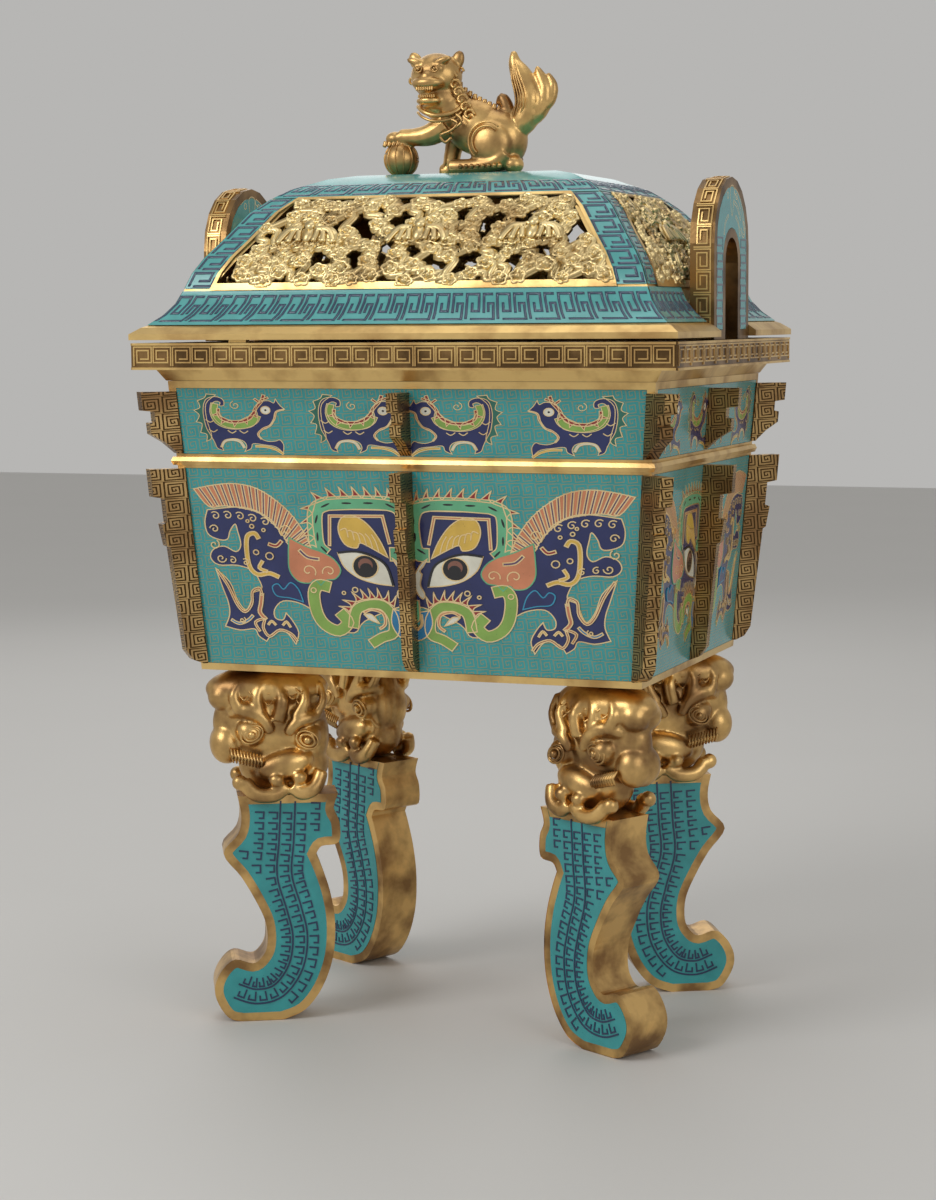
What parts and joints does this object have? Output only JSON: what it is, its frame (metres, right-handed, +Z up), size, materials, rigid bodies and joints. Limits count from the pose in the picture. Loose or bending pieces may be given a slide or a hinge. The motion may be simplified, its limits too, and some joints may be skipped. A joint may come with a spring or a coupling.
{
  "type": "incense burner",
  "caption": "Large rectangular four-legged incense burner in gilt bronze and cloisonne enamel, with loop handles and a pierced cover topped by a lion.",
  "frame": {"origin": "on the floor, under the centre of the vessel", "axes": "+X to the viewer's right along the long side, -Y the front face, +Z up"},
  "size_m": [0.4856, 0.3866, 0.8466],
  "materials": {
    "gilt_bronze": "worn gilding, satin",
    "turquoise_enamel": "polished enamel, slightly pitted",
    "navy_enamel": "polished enamel, slightly pitted",
    "dark_brass": "dull, turned"
  },
  "bodies": {
    "vessel": {"belt_moulding": "gilt_bronze", "frieze_panel_back": "turquoise_enamel", "frieze_panel_front": "turquoise_enamel", "frieze_panel_left": "turquoise_enamel", "frieze_panel_right": "turquoise_enamel", "handle_left": "gilt_bronze", "handle_left_inlay_inner": "turquoise_enamel", "handle_left_inlay_outer": "turquoise_enamel", "handle_right": "gilt_bronze", "handle_right_inlay_inner": "turquoise_enamel", "handle_right_inlay_outer": "turquoise_enamel", "leg_back_left": "gilt_bronze", "leg_back_right": "gilt_bronze", "leg_front_left": "gilt_bronze", "leg_front_right": "gilt_bronze", "leg_head_back_left": "gilt_bronze", "leg_head_back_right": "gilt_bronze", "leg_head_front_left": "gilt_bronze", "leg_head_front_right": "gilt_bronze", "leg_inlay_back_left_inner": "turquoise_enamel", "leg_inlay_back_left_outer": "turquoise_enamel", "leg_inlay_back_right_inner": "turquoise_enamel", "leg_inlay_back_right_outer": "turquoise_enamel", "leg_inlay_front_left_inner": "turquoise_enamel", "leg_inlay_front_left_outer": "turquoise_enamel", "leg_inlay_front_right_inner": "turquoise_enamel", "leg_inlay_front_right_outer": "turquoise_enamel", "lower_flange_back": "gilt_bronze", "lower_flange_back_left": "gilt_bronze", "lower_flange_back_right": "gilt_bronze", "lower_flange_front": "gilt_bronze", "lower_flange_front_left": "gilt_bronze", "lower_flange_front_right": "gilt_bronze", "lower_flange_left": "gilt_bronze", "lower_flange_right": "gilt_bronze", "mask_panel_back": "navy_enamel", "mask_panel_front": "navy_enamel", "mask_panel_left": "navy_enamel", "mask_panel_right": "navy_enamel", "neck_moulding": "gilt_bronze", "rim_collar": "gilt_bronze", "upper_flange_back": "gilt_bronze", "upper_flange_back_left": "gilt_bronze", "upper_flange_back_right": "gilt_bronze", "upper_flange_front": "gilt_bronze", "upper_flange_front_left": "gilt_bronze", "upper_flange_front_right": "gilt_bronze", "upper_flange_left": "gilt_bronze", "upper_flange_right": "gilt_bronze", "vessel_body": "gilt_bronze"},
    "cover": {"cover_crown_panel": "turquoise_enamel", "cover_frame": "gilt_bronze", "finial_nut": "dark_brass", "lion_finial": "gilt_bronze", "openwork_panel_back": "gilt_bronze", "openwork_panel_front": "gilt_bronze", "openwork_panel_left": "gilt_bronze", "openwork_panel_right": "gilt_bronze"}
  },
  "joints": [
    {"name": "cover_lift", "type": "slide", "parent": "vessel", "child": "cover", "axis": [0, 0, 1], "range_m": [0, 0.2]}
  ]
}
